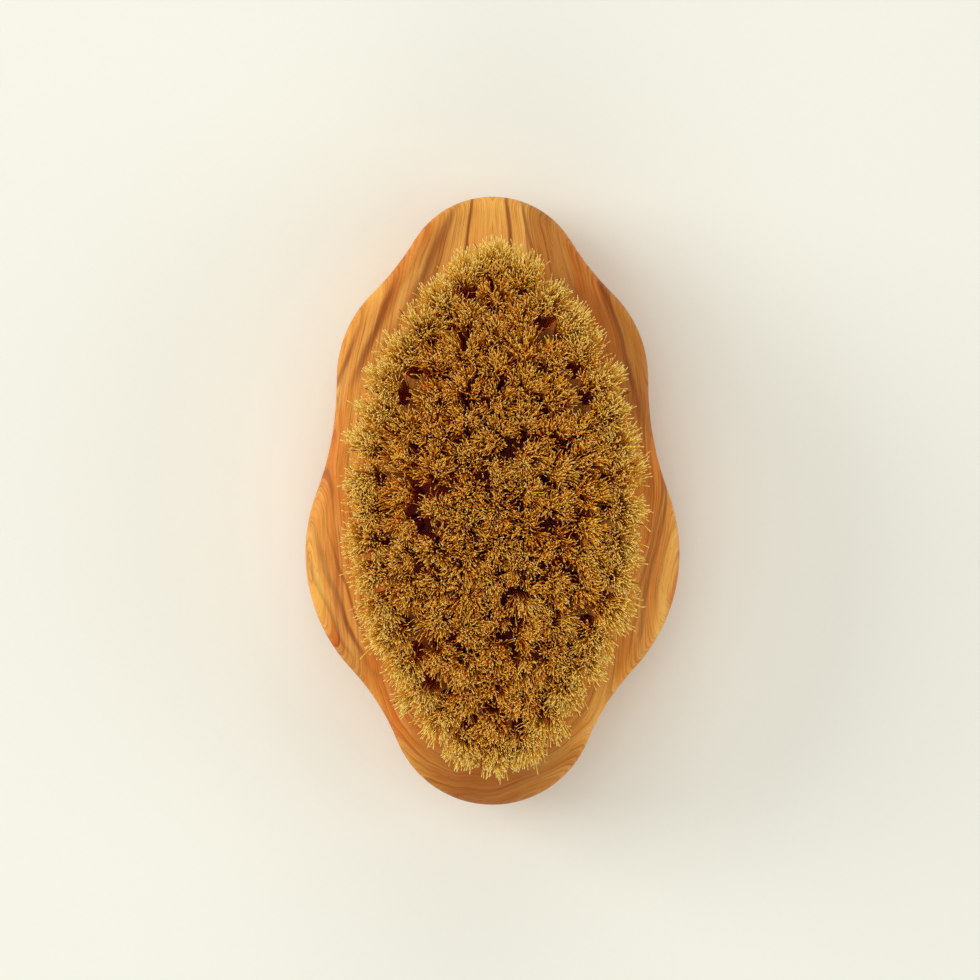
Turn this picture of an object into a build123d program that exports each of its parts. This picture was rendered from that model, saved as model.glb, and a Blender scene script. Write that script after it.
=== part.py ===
from build123d import *

import math
import os

# A palm-held body dry brush: a one-piece olive wood block with a wavy outline, drilled
# with tilted blind holes. Each hole holds one tuft of folded bristle, and a flat wire
# anchor driven across the fold pins the tuft in the wood. The origin is under the middle
# of the block, on the flat of its back, with +Y towards the nose and +Z towards the
# bristle tips. Sizes are in millimetres.

# Wooden block
block_length = 130.0
block_width = 80.0  # across the belly
block_thickness = 24.0
shoulder_width = 66.6
shoulder_from_nose = 38.9  # nose end to the shoulder's centre
belly_from_tail = 53.8  # tail end to the belly's centre
nose_radius = 19.6
shoulder_radius = 25.6
belly_radius = 36.2
tail_radius = 22.0
nose_hollow_radius = 57.8  # between nose and shoulder
waist_hollow_radius = 67.1  # between shoulder and belly
tail_hollow_radius = 49.1  # between belly and tail
face_edge_radius = 3.0  # rounding round the bristle face
back_edge_radius = 10.0  # rounding that fits the palm

# Bristle field, measured on the bristle face
nose_rim = 20.0  # nose end to the nearest hole's centre
tail_rim = 16.2  # tail end to the nearest hole's centre
side_rim = 15.3  # belly's side to the nearest hole's centre
field_offset = 0.5  # the field sits this far to +X
field_end_radius = 9.0
tuft_pitch = 6.5
smallest_hole_spacing = 5.6  # between the holes of neighbouring rows
rows_each_side = 3  # lengthwise rows beside the middle one
border_to_row = 7.7  # border line to the outermost row, across the brush
border_to_row_ends = 5.6  # border line to the ends of the rows
lean_focus_depth = 133.0  # all tufts point away from one point this far below the face
end_reach = 2  # border tufts each side of a tip that count as the nose or tail group

# Holes, tufts and anchors
hole_diameter = 4.0
hole_depth = 9.5
tuft_side_clearance = 0.02
tuft_length = 20.0  # free length outside the face
tuft_straight_length = 1.5  # above the face, before the tuft spreads
tuft_tip_gap = 0.6  # least room between a tuft's tip and the tufts beside it
anchor_thickness = 0.4
anchor_height = 1.8
anchor_bite = 0.3  # how far each end of an anchor cuts into the wood
fold_thickness = 0.9  # bristle that passes under the anchor
drill_overrun = 3.0  # cutting length above the face


def hollow_centre(first, first_radius, second, second_radius, hollow_radius):
    """Centre of the hollow arc that touches two lobes from outside, on their +X side."""
    first_reach = first_radius + hollow_radius
    second_reach = second_radius + hollow_radius
    line = second - first
    along = (line.length**2 + first_reach**2 - second_reach**2) / (2 * line.length)
    across = math.sqrt(first_reach**2 - along**2)
    unit = line.normalized()
    return first + unit * along + Vector(-unit.Y, unit.X) * across


def touching_point(lobe, lobe_radius, hollow):
    """Where a lobe's arc meets the hollow beside it."""
    return lobe + (hollow - lobe).normalized() * lobe_radius


def arc_about(centre, radius, start, end):
    """The short arc about a centre from start to end."""
    middle = ((start - centre).normalized() + (end - centre).normalized()).normalized()
    return ThreePointArc(start, centre + middle * radius, end)


def block_outline():
    """Closed outline of tangent arcs: four lobes with a hollow between each pair, mirrored in X."""
    half_length = block_length / 2
    lobes = [
        (Vector(0, half_length - nose_radius), nose_radius),
        (Vector(shoulder_width / 2 - shoulder_radius, half_length - shoulder_from_nose), shoulder_radius),
        (Vector(block_width / 2 - belly_radius, belly_from_tail - half_length), belly_radius),
        (Vector(0, tail_radius - half_length), tail_radius),
    ]
    hollow_radii = [nose_hollow_radius, waist_hollow_radius, tail_hollow_radius]
    arcs = []
    entry = None
    for (lobe, radius), (next_lobe, next_radius), hollow_radius in zip(lobes, lobes[1:], hollow_radii):
        hollow = hollow_centre(lobe, radius, next_lobe, next_radius, hollow_radius)
        leave = touching_point(lobe, radius, hollow)
        meet = touching_point(next_lobe, next_radius, hollow)
        if entry is None:
            nose_leave = leave
        else:
            arcs.append(arc_about(lobe, radius, entry, leave))
        arcs.append(arc_about(hollow, hollow_radius, leave, meet))
        entry = meet
    left_arcs = [arc.mirror(Plane.YZ) for arc in arcs]
    nose_arc = ThreePointArc((-nose_leave.X, nose_leave.Y), (0, half_length), (nose_leave.X, nose_leave.Y))
    tail_arc = ThreePointArc((-entry.X, entry.Y), (0, -half_length), (entry.X, entry.Y))
    return make_face(Wire([nose_arc, *arcs, tail_arc, *left_arcs]))


def plain_block():
    """The block before drilling, with both rims rounded."""
    block = extrude(block_outline(), block_thickness)
    face_rim = block.faces().sort_by(Axis.Z)[-1].edges()
    block = fillet(face_rim, face_edge_radius)
    back_rim = block.faces().sort_by(Axis.Z)[0].edges()
    return fillet(back_rim, back_edge_radius)


# The border line is an oval of four tangent arcs: two long flanks and two small ends.
field_half_length = (block_length - nose_rim - tail_rim) / 2
field_half_width = block_width / 2 - side_rim
field_middle = (tail_rim - nose_rim) / 2
end_centre = field_half_length - field_end_radius
flank_radius = (field_half_width**2 + end_centre**2 - field_end_radius**2) / (
    2 * (field_half_width - field_end_radius)
)
flank_centre = flank_radius - field_half_width
flank_half_angle = math.atan2(end_centre, flank_centre)
flank_length = 2 * flank_half_angle * flank_radius
end_length = (math.pi - 2 * flank_half_angle) * field_end_radius
border_length = 2 * (flank_length + end_length)


def border_point(distance):
    """Point on the border line, from the middle of the +X flank and anticlockwise."""
    if distance >= border_length / 2:
        x, y = border_point(distance - border_length / 2)
        return (-x, -y)
    if distance < flank_length / 2:
        angle = distance / flank_radius
        return (flank_radius * math.cos(angle) - flank_centre, flank_radius * math.sin(angle))
    distance -= flank_length / 2
    if distance < end_length:
        angle = flank_half_angle + distance / field_end_radius
        return (field_end_radius * math.cos(angle), end_centre + field_end_radius * math.sin(angle))
    angle = math.pi - flank_half_angle + (distance - end_length) / flank_radius
    return (flank_radius * math.cos(angle) + flank_centre, flank_radius * math.sin(angle))


def border_groups():
    """Hole places along the border, evenly spaced, with one at each tip and each flank."""
    quarter = round(border_length / (4 * tuft_pitch))
    count = 4 * quarter
    groups = {"border_nose": [], "border_tail": [], "border_left": [], "border_right": []}
    for index in range(count):
        x, y = border_point(index * border_length / count)
        if abs(index - quarter) <= end_reach:
            groups["border_nose"].append((x, y))
        elif abs(index - 3 * quarter) <= end_reach:
            groups["border_tail"].append((x, y))
        elif x < 0:
            groups["border_left"].append((x, y))
        else:
            groups["border_right"].append((x, y))
    return groups


def row_half_span(x):
    """Half the length of a lengthwise row at x, inside the border line."""
    inner_end_radius = field_end_radius - border_to_row_ends
    if x < inner_end_radius * math.cos(flank_half_angle):
        return end_centre + math.sqrt(inner_end_radius**2 - x**2)
    return math.sqrt((flank_radius - border_to_row_ends) ** 2 - (x + flank_centre) ** 2)


def row_groups():
    """Hole places of the lengthwise rows, staggered from row to row."""
    row_spacing = (field_half_width - border_to_row) / rows_each_side
    # Rows with room between them each stretch to fill their own span. Crowded rows keep to
    # one staggered grid with longer steps, which holds diagonal neighbours apart.
    crowded = row_spacing < smallest_hole_spacing
    stagger_pitch = 2 * math.sqrt(max(0.0, smallest_hole_spacing**2 - row_spacing**2))
    row_pitch = max(tuft_pitch, stagger_pitch)
    to_whole = math.floor if crowded else round
    groups = {}
    for step in range(-rows_each_side, rows_each_side + 1):
        x = step * row_spacing
        half_span = row_half_span(abs(x))
        steps_wanted = 2 * half_span / row_pitch
        if step % 2 == 0:
            gaps = 2 * to_whole(steps_wanted / 2)
        else:
            gaps = 2 * to_whole((steps_wanted - 1) / 2) + 1
        row_step = row_pitch if crowded else 2 * half_span / gaps
        name = f"row_{step + rows_each_side + 1}"
        groups[name] = [(x, row_step * (place - gaps / 2)) for place in range(gaps + 1)]
    return groups


def tuft_plane(x, y):
    """Local frame of a hole: origin on the bristle face, Z along the tuft, X across the brush."""
    place = Vector(x + field_offset, y + field_middle, block_thickness)
    focus = Vector(field_offset, field_middle, block_thickness - lean_focus_depth)
    lean = (place - focus).normalized()
    return Plane(origin=place, x_dir=Vector(0, 1, 0).cross(lean), z_dir=lean)


def tip_radius(places):
    """Tip radius that leaves the tip gap between each tip and the tuft with the nearest axis."""
    planes = [tuft_plane(x, y) for x, y in places]
    tips = [plane.origin + plane.z_dir * tuft_length for plane in planes]
    nearest = min(
        (tip - plane.origin).cross(plane.z_dir).length
        for tip_place, tip in enumerate(tips)
        for axis_place, plane in enumerate(planes)
        if tip_place != axis_place
    )
    return (nearest - tuft_tip_gap) / 2


def anchor_blade():
    """Flat wire anchor across the hole, with the fold of the tuft under it."""
    blade_length = hole_diameter + 2 * anchor_bite
    blade_middle = fold_thickness - hole_depth + anchor_height / 2
    return Pos(0, 0, blade_middle) * Box(blade_length, anchor_thickness, anchor_height)


def hole_cut():
    """Drill cylinder of one hole, running out above the face."""
    drill_length = hole_depth + drill_overrun
    return Pos(0, 0, drill_length / 2 - hole_depth) * Cylinder(hole_diameter / 2, drill_length)


def folded_tuft(spread_radius):
    """One tuft: a round shank in its hole that spreads to its tip, slotted for the anchor."""
    shank_radius = hole_diameter / 2 - tuft_side_clearance
    profile = Polyline(
        (0, 0, -hole_depth),
        (shank_radius, 0, -hole_depth),
        (shank_radius, 0, tuft_straight_length),
        (spread_radius, 0, tuft_length),
        (0, 0, tuft_length),
        close=True,
    )
    return revolve(make_face(profile), Axis.Z) - anchor_blade()


def write(name, shape):
    """Write one named piece, or one named group of like pieces, as a STEP file."""
    export_step(shape, f"parts/{name}.step")


os.makedirs("parts", exist_ok=True)

groups = {**border_groups(), **row_groups()}
places = [place for group in groups.values() for place in group]
tuft = folded_tuft(tip_radius(places))
blade = anchor_blade()
drill = hole_cut()

cuts = []
for name, group in groups.items():
    planes = [tuft_plane(x, y) for x, y in group]
    blades = [plane.location * blade for plane in planes]
    cuts += [plane.location * drill for plane in planes] + blades
    write(f"tufts_{name}", Compound([plane.location * tuft for plane in planes]))
    write(f"anchors_{name}", Compound(blades))

write("handle_block", plain_block() - cuts)
print(len(places), "tufts, tip radius", round(tip_radius(places), 2))
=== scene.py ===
import math

import bpy
import numpy as np
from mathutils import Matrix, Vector


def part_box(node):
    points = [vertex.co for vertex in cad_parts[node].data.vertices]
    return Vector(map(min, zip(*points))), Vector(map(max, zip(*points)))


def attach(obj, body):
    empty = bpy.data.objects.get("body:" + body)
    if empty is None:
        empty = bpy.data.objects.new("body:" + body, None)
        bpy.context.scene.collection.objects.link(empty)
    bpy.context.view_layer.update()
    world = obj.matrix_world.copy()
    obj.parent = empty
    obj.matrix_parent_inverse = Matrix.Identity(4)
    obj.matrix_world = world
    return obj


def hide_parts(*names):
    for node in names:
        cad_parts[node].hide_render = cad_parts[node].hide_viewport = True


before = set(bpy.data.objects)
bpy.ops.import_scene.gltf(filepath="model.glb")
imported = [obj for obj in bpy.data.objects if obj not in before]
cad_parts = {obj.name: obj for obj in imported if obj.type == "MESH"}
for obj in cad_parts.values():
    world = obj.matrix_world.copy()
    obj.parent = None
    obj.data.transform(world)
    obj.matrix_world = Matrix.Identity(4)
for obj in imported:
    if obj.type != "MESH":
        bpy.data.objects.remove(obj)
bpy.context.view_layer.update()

print("frame loaded:", len(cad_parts), "nodes")


def paint(red, green, blue):
    # display colour, 0 to 255, as the linear colour that a shader takes
    values = np.array([red, green, blue]) / 255.0
    linear = np.where(values <= 0.04045, values / 12.92, ((values + 0.055) / 1.055) ** 2.4)
    return (*[float(value) for value in linear], 1.0)


def feed(tree, socket, value):
    # joins a socket to another one, or sets its own value
    if isinstance(value, bpy.types.NodeSocket):
        tree.links.new(value, socket)
    else:
        socket.default_value = value


def newMaterial(name):
    material = bpy.data.materials.new(name)
    material.use_nodes = True
    tree = material.node_tree
    tree.nodes.clear()
    shader = tree.nodes.new("ShaderNodeBsdfPrincipled")
    output = tree.nodes.new("ShaderNodeOutputMaterial")
    tree.links.new(shader.outputs["BSDF"], output.inputs["Surface"])
    return material, tree, shader


def maths(tree, operation, first, second=0.0, third=0.0):
    node = tree.nodes.new("ShaderNodeMath")
    node.operation = operation
    for socket, value in zip(node.inputs, (first, second, third)):
        feed(tree, socket, value)
    return node.outputs[0]


def smoothBand(tree, value, low, high, start=0.0, end=1.0):
    # smooth rise from start at low to end at high
    node = tree.nodes.new("ShaderNodeMapRange")
    node.interpolation_type = "SMOOTHSTEP"
    names = ("Value", "From Min", "From Max", "To Min", "To Max")
    for name, part in zip(names, (value, low, high, start, end)):
        feed(tree, node.inputs[name], part)
    return node.outputs["Result"]


def blendColours(tree, share, first, second, way="MIX"):
    node = tree.nodes.new("ShaderNodeMix")
    node.data_type = "RGBA"
    node.blend_type = way
    feed(tree, node.inputs[0], share)
    feed(tree, node.inputs[6], first)
    feed(tree, node.inputs[7], second)
    return node.outputs[2]


def joinXYZ(tree, x, y, z):
    node = tree.nodes.new("ShaderNodeCombineXYZ")
    for socket, value in zip(node.inputs, (x, y, z)):
        feed(tree, socket, value)
    return node.outputs[0]


def noiseAt(tree, place, scale, detail, roughness):
    node = tree.nodes.new("ShaderNodeTexNoise")
    feed(tree, node.inputs["Vector"], place)
    node.inputs["Scale"].default_value = scale
    node.inputs["Detail"].default_value = detail
    node.inputs["Roughness"].default_value = roughness
    return node.outputs["Fac"]


def colourRamp(tree, value, stops):
    node = tree.nodes.new("ShaderNodeValToRGB")
    ramp = node.color_ramp
    while len(ramp.elements) < len(stops):
        ramp.elements.new(0.5)
    for element, (place, colour) in zip(ramp.elements, stops):
        element.position = place
        element.color = colour
    feed(tree, node.inputs["Fac"], value)
    return node.outputs["Color"]


def addBump(tree, shader, height, strength, distance):
    node = tree.nodes.new("ShaderNodeBump")
    node.inputs["Strength"].default_value = strength
    node.inputs["Distance"].default_value = distance
    feed(tree, node.inputs["Height"], height)
    tree.links.new(node.outputs["Normal"], shader.inputs["Normal"])


oliveWood = {
    "honey": paint(232, 167, 68),
    "amber": paint(224, 144, 54),
    "russet": paint(205, 110, 34),
    "heart": paint(124, 50, 12),
    "sap": paint(250, 198, 100),
    "paintedFieldShade": paint(196, 84, 26),  # painted shade: multiplies the wood between the tufts, darkening it where the tufts shade it
    "roughness": (0.54, 0.40),  # of the dull and of the glossy fibres
    "specular": 0.16,
    "bumpHeight": 0.00006,
    "bumpStrength": 0.35,
    # the rest is in mm, or in shares
    "slowBend": 11.0,  # how far slow and quick noise bend the grain
    "quickBend": 3.0,
    "ovalLength": 90.0,  # the grain follows an oval this long from middle to end
    "ovalMiddle": -9.0,
    "ringsBelow": -36.0,  # towards the tail it closes into rings round this level
    "ringSquash": 1.35,  # makes those rings shorter than round
    "depthShift": 0.7,  # the grain's shift for each mm of height, which carries it down the sides
    "sideChange": 0.035,  # makes the two sides differ
    "lineSlowBend": 3.0,  # how far the same noises bend the lines drawn by hand
    "lineQuickBend": 4.5,
    "lineCore": 0.15,  # the share of a line's width that is at full strength
    "lineFull": 0.4,  # and the share of its length
    "lineLevels": (6.0, 20.0),  # the lines die out from the upper of these levels to the lower
    "paintedShadeReach": (24.0, 46.0),  # half width and half length of the oval of painted shade
    "paintedShadeMiddle": -2.0,
    "paintedShadeFade": (1.0, 0.45),  # from no painted shade to all of it, as squares of the share of that reach
    "paintedShadeLevels": (22.0, 23.5),
}

# layers of the figure: noise scale across the grain and along it (per mm), its seed, detail and roughness. All
# but the first lay a colour over what is there, from none of it at the band's first value to their share of it
# at the second
figureLayers = {
    "broad": {"across": 0.13, "along": 0.012, "seed": 3.0, "detail": 3.0, "roughness": 0.55},
    "streaks": {"across": 0.60, "along": 0.020, "seed": 9.0, "detail": 4.0, "roughness": 0.6,
                "colour": "heart", "band": (0.56, 0.64), "share": 0.34},
    "bands": {"across": 0.36, "along": 0.016, "seed": 15.0, "detail": 3.0, "roughness": 0.5,
              "colour": "sap", "band": (0.54, 0.64), "share": 0.45},
    "fine": {"across": 1.9, "along": 0.035, "seed": 33.0, "detail": 4.0, "roughness": 0.7,
             "colour": "heart", "band": (0.51, 0.59), "share": 0.34},
    "fibre": {"across": 3.6, "along": 0.09, "seed": 21.0, "detail": 4.0, "roughness": 0.65,
              "colour": "amber", "band": (0.70, 0.30), "share": 0.50},
    "pores": {"across": 6.0, "along": 0.5, "seed": 27.0, "detail": 2.0, "roughness": 0.5,
              "colour": "heart", "band": (0.64, 0.73), "share": 0.40},
}

# figure lines, in mm: place across where the block is widest, lean, half width, middle and half length
# along the block, then strength and colour
figureLines = [
    (0.0, 0.0, 8.0, 60.0, 20.0, 0.5, "sap"),
    (-6.8, -0.02, 0.9, 57.0, 13.0, 0.8, "heart"),
    (6.0, 0.05, 1.1, 56.0, 16.0, 0.75, "heart"),
    (19.0, 0.10, 10.0, 50.0, 24.0, 0.45, "heart"),
    (12.5, 0.14, 1.0, 54.0, 15.0, 0.6, "heart"),
    (-20.0, -0.40, 9.0, 46.0, 22.0, 0.34, "heart"),
    (-17.4, -0.44, 2.4, 52.0, 15.0, 0.5, "heart"),
    (-24.5, -0.40, 2.2, 42.0, 15.0, 0.6, "sap"),
    (-30.0, -0.29, 1.6, 36.0, 14.0, 0.65, "heart"),
    (-34.5, -0.26, 2.0, 28.0, 12.0, 0.55, "sap"),
    (-36.5, -0.24, 0.9, 26.0, 12.0, 0.6, "heart"),
    (33.0, 0.0, 12.0, 32.0, 26.0, 0.42, "heart"),
    (31.0, 0.12, 1.0, 34.0, 20.0, 0.6, "heart"),
    (35.2, -0.16, 0.9, -8.0, 28.0, 0.8, "heart"),
    (33.2, -0.17, 0.6, -12.0, 26.0, 0.65, "heart"),
    (37.9, -0.15, 2.0, -15.0, 22.0, 0.85, "sap"),
    (-36.2, 0.37, 0.8, -20.0, 17.0, 0.7, "heart"),
    (-33.4, 0.37, 1.0, -20.0, 19.0, 0.75, "heart"),
    (-31.2, 0.35, 0.6, -18.0, 17.0, 0.6, "heart"),
    (-34.8, 0.37, 1.2, -22.0, 18.0, 0.5, "sap"),
    (-38.0, 0.10, 7.0, -10.0, 22.0, 0.45, "sap"),
    (35.0, -0.10, 8.0, -14.0, 22.0, 0.30, "sap"),
    (-34.0, 0.0, 10.0, -44.0, 16.0, 0.35, "heart"),
    # this line darkens the whole tail end, across the full width
    (0.0, 0.0, 34.0, -66.0, 21.0, 0.62, "heart"),
]


def oliveWoodMaterial():
    # grain coordinate: place across the block, scaled so that its lines follow an oval, closed into rings
    # towards the tail, and bent by slow noise
    material, tree, shader = newMaterial("oliveWood")
    spot = tree.nodes.new("ShaderNodeTexCoord").outputs["Object"]
    toMillimetres = tree.nodes.new("ShaderNodeVectorMath")
    toMillimetres.operation = "SCALE"
    tree.links.new(spot, toMillimetres.inputs[0])
    toMillimetres.inputs["Scale"].default_value = 1000.0
    parts = tree.nodes.new("ShaderNodeSeparateXYZ")
    tree.links.new(toMillimetres.outputs[0], parts.inputs[0])
    x, y, z = parts.outputs

    def wave(xScale, yScale, zScale, seed, detail):
        # slow noise in the block, about zero
        place = joinXYZ(tree, maths(tree, "MULTIPLY", x, xScale), maths(tree, "MULTIPLY", y, yScale),
                        maths(tree, "MULTIPLY_ADD", z, zScale, seed))
        return maths(tree, "SUBTRACT", noiseAt(tree, place, 1.0, detail, 0.5), 0.5)

    slow = wave(0.030, 0.020, 0.03, 0.0, 1.0)
    quick = wave(0.11, 0.045, 0.1, 4.0, 2.0)
    bend = maths(tree, "ADD", maths(tree, "MULTIPLY", slow, oliveWood["slowBend"]),
                 maths(tree, "MULTIPLY", quick, oliveWood["quickBend"]))
    along = maths(tree, "DIVIDE", maths(tree, "SUBTRACT", y, oliveWood["ovalMiddle"]), oliveWood["ovalLength"])
    narrowing = maths(tree, "SQRT", maths(tree, "SUBTRACT", 1.0, maths(tree, "MULTIPLY", along, along)))
    ovalX = maths(tree, "DIVIDE", x, narrowing)
    below = maths(tree, "MINIMUM", maths(tree, "SUBTRACT", y, oliveWood["ringsBelow"]), 0.0)
    belowSquared = maths(tree, "MULTIPLY", maths(tree, "MULTIPLY", below, below), oliveWood["ringSquash"])
    ring = maths(tree, "SQRT", maths(tree, "MULTIPLY_ADD", ovalX, ovalX, belowSquared))
    grain = maths(tree, "ADD", maths(tree, "MULTIPLY_ADD", z, oliveWood["depthShift"], ring), bend)
    handed = maths(tree, "MULTIPLY", x, oliveWood["sideChange"])

    def layer(name):
        own = figureLayers[name]
        place = joinXYZ(tree, maths(tree, "MULTIPLY", grain, own["across"]),
                        maths(tree, "MULTIPLY", y, own["along"]), maths(tree, "ADD", handed, own["seed"]))
        return noiseAt(tree, place, 1.0, own["detail"], own["roughness"])

    def layOver(colour, name, noise, way="MIX"):
        own = figureLayers[name]
        mask = smoothBand(tree, noise, *own["band"], 0.0, own["share"])
        return blendColours(tree, mask, colour, oliveWood[own["colour"]], way)

    colour = colourRamp(tree, layer("broad"), [
        (0.32, oliveWood["russet"]), (0.43, oliveWood["amber"]),
        (0.56, oliveWood["honey"]), (0.72, oliveWood["sap"])])
    for name in ("streaks", "bands"):
        colour = layOver(colour, name, layer(name))

    lineDepth = smoothBand(tree, z, *oliveWood["lineLevels"])
    lineBend = maths(tree, "ADD", maths(tree, "MULTIPLY", quick, oliveWood["lineQuickBend"]),
                     maths(tree, "MULTIPLY", slow, oliveWood["lineSlowBend"]))
    lineX = maths(tree, "ADD", ovalX, lineBend)
    for across, lean, width, middle, reach, strength, tone in figureLines:
        fromMiddle = maths(tree, "SUBTRACT", y, middle)
        centre = maths(tree, "MULTIPLY_ADD", fromMiddle, -lean, across)
        away = maths(tree, "ABSOLUTE", maths(tree, "SUBTRACT", lineX, centre))
        thin = smoothBand(tree, away, width, width * oliveWood["lineCore"])
        distance = maths(tree, "ABSOLUTE", fromMiddle)
        fade = smoothBand(tree, distance, reach, reach * oliveWood["lineFull"], 0.0, strength)
        share = maths(tree, "MULTIPLY", maths(tree, "MULTIPLY", thin, fade), lineDepth)
        colour = blendColours(tree, share, colour, oliveWood[tone])

    fibre, pores = layer("fibre"), layer("pores")
    colour = layOver(colour, "fine", layer("fine"))
    colour = layOver(colour, "fibre", fibre, "MULTIPLY")
    colour = layOver(colour, "pores", pores)

    # painted shade between the tufts: the top face is multiplied darker inside an oval round the bristle field
    halfWidth, halfLength = oliveWood["paintedShadeReach"]
    shadeX = maths(tree, "DIVIDE", x, halfWidth)
    shadeY = maths(tree, "DIVIDE", maths(tree, "SUBTRACT", y, oliveWood["paintedShadeMiddle"]), halfLength)
    shadeAway = maths(tree, "MULTIPLY_ADD", shadeX, shadeX, maths(tree, "MULTIPLY", shadeY, shadeY))
    paintedShade = maths(tree, "MULTIPLY", smoothBand(tree, shadeAway, *oliveWood["paintedShadeFade"]),
                  smoothBand(tree, z, *oliveWood["paintedShadeLevels"]))
    colour = blendColours(tree, paintedShade, colour, oliveWood["paintedFieldShade"], "MULTIPLY")

    feed(tree, shader.inputs["Base Color"], colour)
    feed(tree, shader.inputs["Roughness"], smoothBand(tree, fibre, 0.2, 0.8, *oliveWood["roughness"]))
    shader.inputs["Specular IOR Level"].default_value = oliveWood["specular"]
    poreDepth = smoothBand(tree, pores, *figureLayers["pores"]["band"], 0.0, 0.6)
    height = maths(tree, "SUBTRACT", fibre, poreDepth)
    addBump(tree, shader, height, oliveWood["bumpStrength"], oliveWood["bumpHeight"])
    return material


anchorWire = {
    "dark": paint(150, 146, 138),
    "pale": paint(206, 202, 192),
    "scratchScale": (400.0, 9000.0, 9000.0),  # along the blades and across them
    "roughness": (0.45, 0.28),
    "bumpHeight": 0.00002,
    "bumpStrength": 0.2,
}


def anchorWireMaterial():
    # drawn steel wire: fine scratches along its length and a slightly uneven tone
    material, tree, shader = newMaterial("anchorWire")
    spot = tree.nodes.new("ShaderNodeTexCoord").outputs["Object"]
    stretch = tree.nodes.new("ShaderNodeMapping")
    stretch.inputs["Scale"].default_value = anchorWire["scratchScale"]
    tree.links.new(spot, stretch.inputs["Vector"])
    scratches = noiseAt(tree, stretch.outputs[0], 1.0, 3.0, 0.6)
    tone = colourRamp(tree, scratches, [(0.3, anchorWire["dark"]), (0.7, anchorWire["pale"])])
    feed(tree, shader.inputs["Base Color"], tone)
    shader.inputs["Metallic"].default_value = 1.0
    feed(tree, shader.inputs["Roughness"], smoothBand(tree, scratches, 0.2, 0.8, *anchorWire["roughness"]))
    addBump(tree, shader, scratches, anchorWire["bumpStrength"], anchorWire["bumpHeight"])
    return material


bristleField = {
    "noseRim": 0.020,  # nose end to the nearest hole's centre
    "tailRim": 0.0162,
    "sideRim": 0.0153,
    "offset": 0.0005,  # the field sits this far to +X
    "endRadius": 0.009,
    "pitch": 0.0065,
    "rowsEachSide": 3,  # lengthwise rows beside the middle one
    "borderToRow": 0.0077,  # border line to the outermost row, across the brush
    "borderToRowEnds": 0.0056,
    "leanFocusDepth": 0.133,  # all tufts point away from one point this far below the face
    "endReach": 2,  # border tufts each side of a tip that count as the nose or tail group
}

tuftShape = {
    "fibres": 300,
    "rings": 8,
    "ringCrowding": 1.6,  # draws the rings of each fibre towards its tip
    "rootDepth": 0.0022,  # the fibres start inside the hole
    "rootRadius": 0.00197,
    "tipRadius": 0.0040,
    "tipScatter": 0.13,  # how unevenly far the fibres of one tuft spread
    "length": 0.0198,
    "lengthSpread": 0.00144,
    "dome": 0.0019,  # the outer fibres of a tuft end this much lower
    "crowding": 0.58,  # 0.5 fills a tuft evenly, more crowds its middle
    "spreadPower": 1.8,
    "slackShare": 0.75,  # how much of its rise a fibre loses by going sideways
    "tuftLean": 0.0006,  # each tuft's own random lean, at its tip
    "tuftSwell": 0.08,  # how unevenly wide the tufts are
    "room": 0.0083,  # the distance that neighbouring tips want
    "settleRounds": 12,
    "settleShare": 0.12,
    "clumps": 7,  # in each tuft
    "clumpPull": 0.38,
    "clumpDrift": 0.00035,
    "crinkle": (0.00012, 0.00036),  # how far a fibre waves to each side, least and most
    "crinkleWaves": (1.2, 3.5),  # and the waves along it
    "hook": 0.00075,  # random bend of the last stretch
    "hookOutward": 0.0004,
    "hookStart": 0.62,  # the height where that stretch begins, as a share of the fibre
    "hookPower": 1.5,
    "strayShare": 0.04,
    "strayBend": 0.0021,
    "strayMost": 1.5,  # no stray bends more than this many times as far
    "thickness": 0.000118,  # fibre radius
    "thicknessSpread": 0.12,
    "taper": 0.12,
    "mapWidth": 0.004,  # what each fibre takes up across the map
    "mapCap": 0.02,  # how far down the map the closing triangles reach
    "firstSeed": 100,
}

fringe = {  # how the border's tufts differ from the rest
    "across": 0.66,  # they spread less across the border line
    "along": 1.36,  # and more along it
    "inward": 0.0006,
    "stray": 0.6,
    "hook": 0.0021,  # their outer fibres curl outwards at the tips
}


def fieldSizes():
    # the border line is an oval of four tangent arcs, set inside the block by its three rims
    low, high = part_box("handle_block")
    sizes = {"faceHeight": high[2], "middleX": bristleField["offset"] + (low[0] + high[0]) / 2}
    sizes["halfLength"] = (high[1] - low[1] - bristleField["noseRim"] - bristleField["tailRim"]) / 2
    sizes["halfWidth"] = (high[0] - low[0]) / 2 - bristleField["sideRim"]
    sizes["middleY"] = low[1] + bristleField["tailRim"] + sizes["halfLength"]
    endRadius = bristleField["endRadius"]
    sizes["endCentre"] = sizes["halfLength"] - endRadius
    sizes["flankRadius"] = (sizes["halfWidth"] ** 2 + sizes["endCentre"] ** 2 - endRadius ** 2) / (
        2 * (sizes["halfWidth"] - endRadius))
    sizes["flankCentre"] = sizes["flankRadius"] - sizes["halfWidth"]
    sizes["flankAngle"] = math.atan2(sizes["endCentre"], sizes["flankCentre"])
    sizes["flankLength"] = 2 * sizes["flankAngle"] * sizes["flankRadius"]
    sizes["endLength"] = (math.pi - 2 * sizes["flankAngle"]) * endRadius
    sizes["borderLength"] = 2 * (sizes["flankLength"] + sizes["endLength"])
    return sizes


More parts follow.
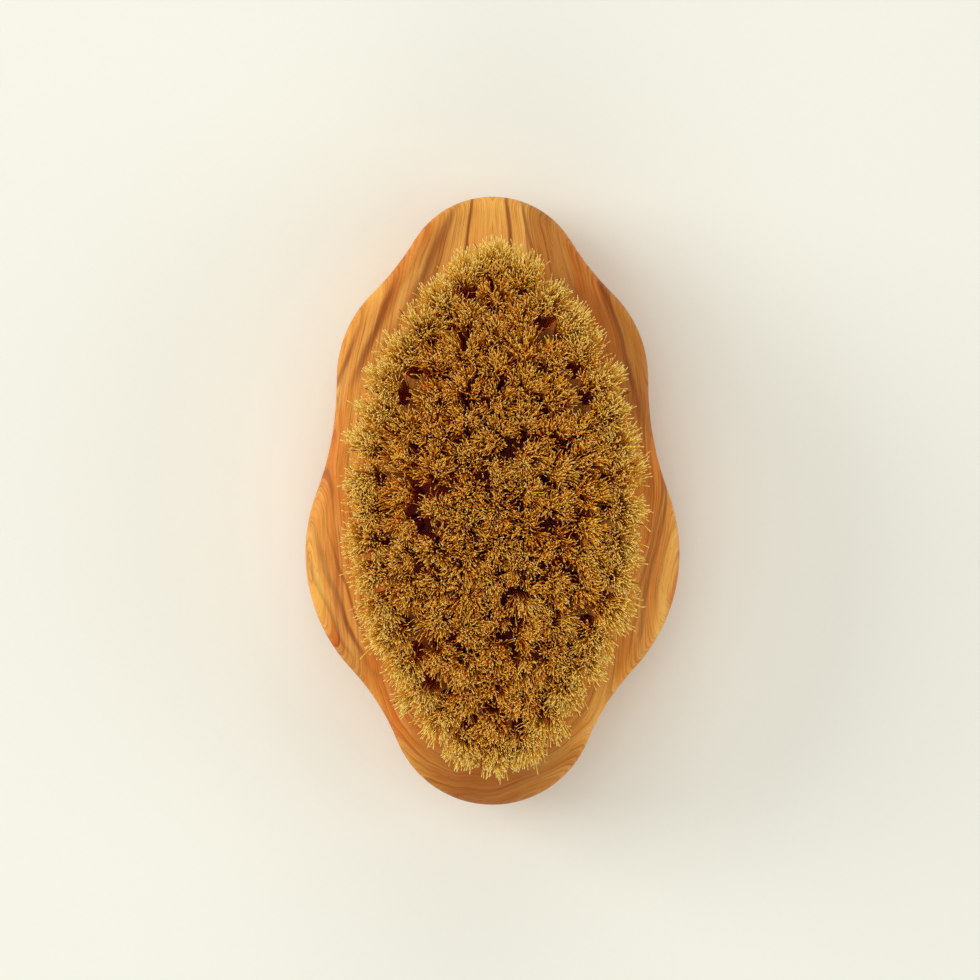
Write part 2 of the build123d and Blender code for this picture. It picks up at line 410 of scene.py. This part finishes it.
def borderPlaces(distance, sizes):
    # point at each distance along the oval, anticlockwise from the middle of the +X flank
    half = sizes["borderLength"] / 2
    turned = distance >= half
    along = np.where(turned, distance - half, distance)
    endRadius = bristleField["endRadius"]
    onFlank = along < sizes["flankLength"] / 2
    onEnd = ~onFlank & (along < sizes["flankLength"] / 2 + sizes["endLength"])
    past = along - sizes["flankLength"] / 2
    endAngle = sizes["flankAngle"] + past / endRadius
    nextAngle = math.pi - sizes["flankAngle"] + (past - sizes["endLength"]) / sizes["flankRadius"]
    angle = np.where(onFlank, along / sizes["flankRadius"], np.where(onEnd, endAngle, nextAngle))
    radius = np.where(onEnd, endRadius, sizes["flankRadius"])
    centreX = np.where(onEnd, 0.0, np.where(onFlank, -sizes["flankCentre"], sizes["flankCentre"]))
    centreY = np.where(onEnd, sizes["endCentre"], 0.0)
    points = np.stack([centreX + radius * np.cos(angle), centreY + radius * np.sin(angle)], axis=1)
    return np.where(turned[:, None], -points, points)


def tuftGroups(sizes):
    # hole places of each group, measured from the middle of the bristle field
    quarter = round(sizes["borderLength"] / (4 * bristleField["pitch"]))
    index = np.arange(4 * quarter)
    points = borderPlaces(index * sizes["borderLength"] / (4 * quarter), sizes)
    nose = abs(index - quarter) <= bristleField["endReach"]
    tail = abs(index - 3 * quarter) <= bristleField["endReach"]
    rest = ~nose & ~tail
    groups = {
        "border_nose": points[nose],
        "border_tail": points[tail],
        "border_left": points[rest & (points[:, 0] < 0)],
        "border_right": points[rest & (points[:, 0] >= 0)],
    }
    rows = bristleField["rowsEachSide"]
    spacing = (sizes["halfWidth"] - bristleField["borderToRow"]) / rows
    innerEnd = bristleField["endRadius"] - bristleField["borderToRowEnds"]
    innerFlank = sizes["flankRadius"] - bristleField["borderToRowEnds"]
    for step in range(-rows, rows + 1):
        x = step * spacing
        if abs(x) < innerEnd * math.cos(sizes["flankAngle"]):
            halfSpan = sizes["endCentre"] + math.sqrt(innerEnd ** 2 - x ** 2)
        else:
            halfSpan = math.sqrt(innerFlank ** 2 - (abs(x) + sizes["flankCentre"]) ** 2)
        wanted = 2 * halfSpan / bristleField["pitch"]
        gaps = 2 * round(wanted / 2) if step % 2 == 0 else 2 * round((wanted - 1) / 2) + 1
        along = halfSpan * (2 * np.arange(gaps + 1) / gaps - 1)
        groups[f"row_{step + rows + 1}"] = np.stack([np.full(gaps + 1, x), along], axis=1)
    return groups


def tuftFrames(places, sizes):
    # each tuft's foot on the face, and its axes: across, along and up the tuft, away from one focus below
    foot = np.column_stack([places[:, 0] + sizes["middleX"], places[:, 1] + sizes["middleY"],
                            np.full(len(places), sizes["faceHeight"])])
    focus = np.array([sizes["middleX"], sizes["middleY"], sizes["faceHeight"] - bristleField["leanFocusDepth"]])
    up = foot - focus
    up /= np.linalg.norm(up, axis=1, keepdims=True)
    across = np.cross([0.0, 1.0, 0.0], up)
    across /= np.linalg.norm(across, axis=1, keepdims=True)
    return foot, across, np.cross(up, across), up


def settleTips(groups):
    # bristles press on each other, so tips that stand too close push apart: each pair nearer than the room they
    # want moves by a share of what is missing, a few times over; the border's tips stay in place
    places = np.concatenate(list(groups.values()))
    fixed = np.concatenate([np.full(len(group), name.startswith("border")) for name, group in groups.items()])
    grow = 1 + tuftShape["length"] / bristleField["leanFocusDepth"]
    tips = places * grow
    for _ in range(tuftShape["settleRounds"]):
        apart = tips[:, None, :] - tips[None, :, :]
        distance = np.linalg.norm(apart, axis=-1) + np.eye(len(tips))
        missing = np.clip(tuftShape["room"] - distance, 0, None) * (1 - np.eye(len(tips)))
        push = np.sum(apart / distance[..., None] * missing[..., None], axis=1) * tuftShape["settleShare"]
        tips = tips + np.where(fixed[:, None], 0.0, push)
    moved = tips - places * grow
    splits = np.cumsum([len(group) for group in groups.values()])[:-1]
    return dict(zip(groups, np.split(moved, splits)))


def ringHeights():
    # from 0 at the root to 1 at the tip, closer together towards the tip
    return 1 - (1 - np.linspace(0, 1, tuftShape["rings"])) ** tuftShape["ringCrowding"]


def between(limits, amount):
    return limits[0] + (limits[1] - limits[0]) * amount


def fibreCentres(places, settled, sizes, border, rng):
    # every fibre is a curve from its place in the hole to its place at the tip, going outwards as a power of
    # its height. Added to that, all growing with height: its tuft's lean and settling, its clump's pull, a bend
    # if it strays, two sine waves of crinkle, and a hook over the last part. It rises by its length, less for
    # the outer fibres, which rounds the tuft, and less by the square of how far it goes sideways. A border tuft
    # is squeezed across the border line and spreads along it. Paleness grows towards a tuft's middle, or
    # outwards in the border.
    foot, across, along, up = tuftFrames(places, sizes)
    tufts, count, rings = len(places), tuftShape["fibres"], tuftShape["rings"]
    shape = (tufts, count)
    share = rng.random(shape) ** tuftShape["crowding"]
    turn = rng.random(shape) * 2 * math.pi
    side = np.stack([np.cos(turn), np.sin(turn)], axis=-1)
    root = share * tuftShape["rootRadius"]
    swell = 1 + tuftShape["tuftSwell"] * rng.standard_normal((tufts, 1))
    tip = share * tuftShape["tipRadius"] * swell * (1 + tuftShape["tipScatter"] * rng.standard_normal(shape))
    height = ringHeights()

    clumpTurn = rng.random((tufts, tuftShape["clumps"])) * 2 * math.pi
    clumpShare = np.sqrt(rng.random((tufts, tuftShape["clumps"])))
    clump = np.stack([clumpShare * np.cos(clumpTurn), clumpShare * np.sin(clumpTurn)], axis=-1)
    spot = side * share[..., None]
    nearest = np.argmin(np.linalg.norm(spot[:, :, None, :] - clump[:, None, :, :], axis=-1), axis=-1)
    own = np.take_along_axis(clump, nearest[..., None], axis=1)
    drift = tuftShape["clumpDrift"] * rng.standard_normal(clump.shape)
    ownDrift = np.take_along_axis(drift, nearest[..., None], axis=1)
    pull = tuftShape["clumpPull"] * (own - spot) * tuftShape["tipRadius"] + ownDrift

    lean = pull + settled[:, None, :] + tuftShape["tuftLean"] * rng.standard_normal((tufts, 1, 2))
    stray = rng.random(shape) < tuftShape["strayShare"]
    most = tuftShape["strayMost"]
    strayAway = tuftShape["strayBend"] * np.clip(rng.standard_normal((*shape, 2)), -most, most)
    lean = lean + np.where(stray[..., None], strayAway * (fringe["stray"] if border else 1.0), 0.0)
    hook = tuftShape["hook"] * rng.standard_normal((*shape, 2)) + tuftShape["hookOutward"] * spot
    waves = 2 * math.pi * between(tuftShape["crinkleWaves"], rng.random((*shape, 2)))
    phase = 2 * math.pi * rng.random((*shape, 2))
    size = between(tuftShape["crinkle"], rng.random((*shape, 2)))

    swing = side * (tip - root)[..., None]
    paleness = 1 - share
    if border:
        outward = (places / np.linalg.norm(places, axis=1, keepdims=True))[:, None, :]
        sideways = np.stack([-outward[..., 1], outward[..., 0]], axis=-1)
        swing = (outward * np.sum(swing * outward, axis=-1, keepdims=True) * fringe["across"]
                 + sideways * np.sum(swing * sideways, axis=-1, keepdims=True) * fringe["along"]
                 - outward * fringe["inward"])
        # painted light: the fibres on a border tuft's outward side are paler, as the lit side of the fringe
        paleness = np.sum(spot * outward, axis=-1)
        hook = hook + outward * np.clip(paleness, 0, 1)[..., None] * fringe["hook"]
    spread = height ** tuftShape["spreadPower"]
    hookStart = tuftShape["hookStart"]
    late = np.clip((height - hookStart) / (1 - hookStart), 0, 1) ** tuftShape["hookPower"]
    angle = waves[:, :, None, :] * height[:, None] + phase[:, :, None, :]
    crinkle = size[:, :, None, :] * height[:, None] * np.sin(angle)
    offset = ((side * root[..., None])[:, :, None, :] + swing[:, :, None, :] * spread[:, None]
              + lean[:, :, None, :] * (height ** 2)[:, None] + hook[:, :, None, :] * late[:, None] + crinkle)
    length = tuftShape["length"] - tuftShape["lengthSpread"] * np.abs(rng.standard_normal(shape))
    length = length - tuftShape["dome"] * share ** 3
    slack = np.sum((offset - offset[:, :, :1, :]) ** 2, axis=-1)
    loss = tuftShape["slackShare"] * slack / tuftShape["length"]
    rise = length[..., None] * height - loss - tuftShape["rootDepth"] * (1 - height)
    centres = (foot[:, None, None, :]
               + offset[..., 0:1] * across[:, None, None, :]
               + offset[..., 1:2] * along[:, None, None, :]
               + rise[..., None] * up[:, None, None, :])
    acrossEach, alongEach = np.repeat(across, count, axis=0), np.repeat(along, count, axis=0)
    return centres.reshape(-1, rings, 3), acrossEach, alongEach, paleness


bristleTone = {
    "inside": {"middle": 0.488, "spread": 0.17, "pales": 0.13},
    # the border's fibres are paler, partly their own colour and partly painted light for the lit fringe
    "border": {"middle": 0.74, "spread": 0.09, "pales": 0.24},
    "tuftSpread": 0.03,
    "darkShare": 0.025,  # the share of dark bristles
    "darkTone": 0.04,
    "limits": (0.02, 0.98),
}


def fibreTones(paleness, border, rng):
    # one tone for each fibre: 0 is the darkest bristle and 1 the palest. A tuft inside the field pales towards
    # its middle, and the border pales outwards
    shape = paleness.shape
    own = bristleTone["border" if border else "inside"]
    tone = (own["middle"] + own["pales"] * paleness + own["spread"] * rng.standard_normal(shape)
            + bristleTone["tuftSpread"] * rng.standard_normal((len(paleness), 1)))
    dark = rng.random(shape) < bristleTone["darkShare"]
    tone = np.where(dark, bristleTone["darkTone"], tone)
    return np.clip(tone, *bristleTone["limits"]).ravel()


def fibreMesh(name, centres, across, along, tones, rng):
    # three-sided tube round each curve: ring k, corner j lies at the curve's point k plus the thickness
    # times the cosine and sine of a third of a turn, closed by one triangle at each end
    fibres, rings = centres.shape[:2]
    height = ringHeights()
    uneven = 1 + tuftShape["thicknessSpread"] * rng.standard_normal((fibres, 1))
    thickness = tuftShape["thickness"] * (1.0 - tuftShape["taper"] * height)[None, :] * uneven
    start = rng.random((fibres, 1)) * 2 * math.pi
    corner = start + np.arange(3)[None, :] * 2 * math.pi / 3
    ring = np.cos(corner)[..., None] * across[:, None, :] + np.sin(corner)[..., None] * along[:, None, :]
    points = centres[:, :, None, :] + thickness[:, :, None, None] * ring[:, None, :, :]

    ringIndex = np.arange(rings - 1)[:, None]
    cornerIndex = np.arange(3)[None, :]
    nextCorner = (cornerIndex + 1) % 3
    low, lowNext = ringIndex * 3 + cornerIndex, ringIndex * 3 + nextCorner
    high, highNext = low + 3, lowNext + 3
    lowerHalf, upperHalf = np.stack([low, lowNext, highNext], -1), np.stack([low, highNext, high], -1)
    sides = np.stack([lowerHalf, upperHalf], axis=2).reshape(-1, 3)
    last = 3 * (rings - 1)
    pattern = np.concatenate([sides, [[0, 2, 1], [last, last + 1, last + 2]]])
    triangles = (np.arange(fibres)[:, None, None] * 3 * rings + pattern[None]).reshape(-1, 3)

    width, cap = tuftShape["mapWidth"], tuftShape["mapCap"]
    uLow, uNext, vLow, vHigh = np.broadcast_arrays(
        cornerIndex / 3 * width, (cornerIndex + 1) / 3 * width, height[:-1, None], height[1:, None])
    sideUv = np.stack([
        np.stack([np.stack([uLow, vLow], -1), np.stack([uNext, vLow], -1), np.stack([uNext, vHigh], -1)], -2),
        np.stack([np.stack([uLow, vLow], -1), np.stack([uNext, vHigh], -1), np.stack([uLow, vHigh], -1)], -2),
    ], axis=2).reshape(-1, 3, 2)
    rootUv = [[0, 0], [width, 0], [width / 2, cap]]
    tipUv = [[0, 1], [width, 1], [width / 2, 1 - cap]]
    patternUv = np.concatenate([sideUv, [rootUv, tipUv]])
    uv = patternUv[None] + np.stack([tones, np.zeros(fibres)], -1)[:, None, None, :]

    mesh = bpy.data.meshes.new(name)
    mesh.vertices.add(points.size // 3)
    mesh.vertices.foreach_set("co", points.astype(np.float32).ravel())
    mesh.loops.add(triangles.size)
    mesh.loops.foreach_set("vertex_index", triangles.astype(np.int32).ravel())
    mesh.polygons.add(len(triangles))
    mesh.polygons.foreach_set("loop_start", np.arange(0, triangles.size, 3, dtype=np.int32))
    mesh.polygons.foreach_set("use_smooth", np.ones(len(triangles), dtype=bool))
    layer = mesh.uv_layers.new(name="OFBake")
    layer.data.foreach_set("uv", uv.astype(np.float32).ravel())
    mesh.update(calc_edges=True)
    mesh.validate()
    return mesh


bristleColour = {
    "tones": [  # from the darkest bristle to the palest
        (0.03, paint(130, 34, 2)), (0.22, paint(246, 136, 12)),
        (0.52, paint(255, 196, 46)), (0.85, paint(255, 220, 98))],
    # painted shade: the lower part of each fibre takes a darker, redder colour, standing in for the warm shade
    # deep in the tufts; the pale one is for the border's pale fibres
    "root": paint(236, 88, 12),
    "paleRootShade": paint(255, 172, 56),
    "paleTones": (0.55, 0.80),  # from the painted root shade to its pale one
    "rootShadeFade": (0.55, 0.99),  # the heights where the painted root shade fades out
    # painted highlight: the last stretch of each fibre is paler, standing in for the light its tip catches
    "tip": paint(255, 230, 150),
    "tipHighlightStart": (0.96, 0.995),
    "tipTones": (0.35, 0.90),
    "tipShares": (0.10, 0.85),  # how much of the painted tip highlight those two tones take
    "mottleScale": (160.0, 9.0),  # across the tones and up the fibre
    "mottleShare": 0.16,
    "roughness": (0.58, 0.42),
    "specular": 0.05,
    "bumpHeight": 0.00002,
    "bumpStrength": 0.15,
}


def bristleMaterial():
    # tone across the map picks the fibre's colour; height along it paints darker, redder shade on the lower
    # fibre and a painted highlight on the tip
    material, tree, shader = newMaterial("bristle")
    uvMap = tree.nodes.new("ShaderNodeUVMap")
    uvMap.uv_map = "OFBake"
    parts = tree.nodes.new("ShaderNodeSeparateXYZ")
    tree.links.new(uvMap.outputs[0], parts.inputs[0])
    tone, height = parts.outputs[0], parts.outputs[1]
    acrossScale, upScale = bristleColour["mottleScale"]
    mapSpot = joinXYZ(tree, maths(tree, "MULTIPLY", tone, acrossScale),
                      maths(tree, "MULTIPLY", height, upScale), 0.0)
    mottle = noiseAt(tree, mapSpot, 1.0, 3.0, 0.6)
    aboutZero = maths(tree, "SUBTRACT", mottle, 0.5)
    shifted = maths(tree, "MULTIPLY_ADD", aboutZero, bristleColour["mottleShare"], tone)
    colour = colourRamp(tree, shifted, bristleColour["tones"])
    # painted shade on the lower fibre: darker and redder towards the root, a paler red for pale fibres
    pale = smoothBand(tree, tone, *bristleColour["paleTones"])
    rootShadeColour = blendColours(tree, pale, bristleColour["root"], bristleColour["paleRootShade"])
    rootShadeShare = smoothBand(tree, height, *bristleColour["rootShadeFade"], 1.0, 0.0)
    colour = blendColours(tree, rootShadeShare, colour, rootShadeColour)
    # painted highlight on the tip of each fibre
    tipHighlightShare = maths(tree, "MULTIPLY", smoothBand(tree, height, *bristleColour["tipHighlightStart"]),
                     smoothBand(tree, tone, *bristleColour["tipTones"], *bristleColour["tipShares"]))
    colour = blendColours(tree, tipHighlightShare, colour, bristleColour["tip"])
    feed(tree, shader.inputs["Base Color"], colour)
    feed(tree, shader.inputs["Roughness"], smoothBand(tree, mottle, 0.2, 0.8, *bristleColour["roughness"]))
    shader.inputs["Specular IOR Level"].default_value = bristleColour["specular"]
    addBump(tree, shader, mottle, bristleColour["bumpStrength"], bristleColour["bumpHeight"])
    return material


def makeTufts():
    sizes = fieldSizes()
    material = bristleMaterial()
    groups = tuftGroups(sizes)
    settled = settleTips(groups)
    for number, (group, places) in enumerate(groups.items()):
        rng = np.random.default_rng(tuftShape["firstSeed"] + number)
        border = group.startswith("border")
        centres, across, along, paleness = fibreCentres(places, settled[group], sizes, border, rng)
        tones = fibreTones(paleness, border, rng)
        mesh = fibreMesh("bristles_" + group, centres, across, along, tones, rng)
        piece = bpy.data.objects.new("bristles_" + group, mesh)
        bpy.context.scene.collection.objects.link(piece)
        piece.data.materials.append(material)
        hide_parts("tufts_" + group)
        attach(piece, "root")
        low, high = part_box("tufts_" + group)
        past = np.maximum(np.array(low) - centres.min(axis=(0, 1)), centres.max(axis=(0, 1)) - np.array(high))
        print(group, len(places), "tufts,", len(mesh.polygons), "triangles, past the plain tufts' box by",
              np.round(past * 1000, 2), "mm")


studio = {
    "cameraHeight": 0.921,
    "aimX": -0.00053,
    "aimY": 0.00229,
    "viewWidth": 0.2095,  # what the picture spans at the block's widest level
    "blockLevel": 0.021,
    "skyStrength": 0.40,
    "skyColour": (1.0, 1.0, 0.985, 1.0),
    "lightAim": (0.0, 0.0, 0.02),
    "lights": {
        "topLight": {"place": (-0.35, 0.15, 1.55), "size": 1.2, "power": 6.0, "colour": (1.0, 1.0, 0.985)},
        "keyLight": {"place": (-1.70, 0.50, 0.85), "size": 1.1, "power": 18.0, "colour": (1.0, 0.99, 0.97)},
        "headLight": {"place": (0.15, 1.80, 0.85), "size": 1.3, "power": 8.5, "colour": (1.0, 0.99, 0.97)},
        "footLight": {"place": (-0.10, -1.80, 0.85), "size": 1.3, "power": 8.5, "colour": (1.0, 0.99, 0.97)},
        "fillLight": {"place": (1.80, -0.20, 0.85), "size": 1.3, "power": 8.0, "colour": (1.0, 0.99, 0.97)},
    },
}


def addAreaLight(name, place, size, power, colour):
    light = bpy.data.lights.new(name, "AREA")
    light.shape = "SQUARE"
    light.size = size
    light.energy = power
    light.color = colour
    lamp = bpy.data.objects.new(name, light)
    lamp.location = place
    lamp.rotation_euler = (Vector(studio["lightAim"]) - Vector(place)).to_track_quat("-Z", "Y").to_euler()
    bpy.context.scene.collection.objects.link(lamp)


def makeStudio():
    scene = bpy.context.scene
    camera = bpy.data.cameras.new("camera")
    distance = studio["cameraHeight"] - studio["blockLevel"]
    camera.sensor_width = 36.0
    camera.lens = camera.sensor_width * distance / studio["viewWidth"]
    camera.clip_start = 0.01
    holder = bpy.data.objects.new("camera", camera)
    holder.location = (studio["aimX"], studio["aimY"], studio["cameraHeight"])
    scene.collection.objects.link(holder)
    scene.camera = holder
    scene.view_settings.view_transform = "Standard"

    world = bpy.data.worlds.new("studioSky")
    world.use_nodes = True
    sky = world.node_tree.nodes["Background"]
    sky.inputs["Color"].default_value = studio["skyColour"]
    sky.inputs["Strength"].default_value = studio["skyStrength"]
    scene.world = world
    for name, light in studio["lights"].items():
        addAreaLight(name, light["place"], light["size"], light["power"], light["colour"])


paperFloor = {
    "paper": paint(243, 243, 231),
    "tooth": paint(225, 221, 206),
    "toothScale": 900.0,
    "toothShare": 0.04,
    "roughness": 0.9,
    "reach": 3.0,
}


def makeFloor():
    floorMesh = bpy.data.meshes.new("paperFloor")
    reach = paperFloor["reach"]
    corners = [(-reach, -reach, 0), (reach, -reach, 0), (reach, reach, 0), (-reach, reach, 0)]
    floorMesh.from_pydata(corners, [], [(0, 1, 2, 3)])
    floor = bpy.data.objects.new("paperFloor", floorMesh)
    bpy.context.scene.collection.objects.link(floor)
    material, tree, shader = newMaterial("paper")
    spot = tree.nodes.new("ShaderNodeTexCoord").outputs["Object"]
    tooth = noiseAt(tree, spot, paperFloor["toothScale"], 3.0, 0.6)
    toothShare = smoothBand(tree, tooth, 0.3, 0.7, 0.0, paperFloor["toothShare"])
    tone = blendColours(tree, toothShare, paperFloor["paper"], paperFloor["tooth"])
    feed(tree, shader.inputs["Base Color"], tone)
    shader.inputs["Roughness"].default_value = paperFloor["roughness"]
    floorMesh.materials.append(material)


makeStudio()
makeFloor()
print("studio ready")

wood = oliveWoodMaterial()
wire = anchorWireMaterial()
for nodeName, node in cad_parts.items():
    if nodeName == "handle_block":
        finish = wood
    elif nodeName.startswith("anchors_"):
        finish = wire
    else:
        continue
    for slot in node.material_slots:
        slot.material = finish
print("block and anchors finished")

makeTufts()
print("tufts ready")
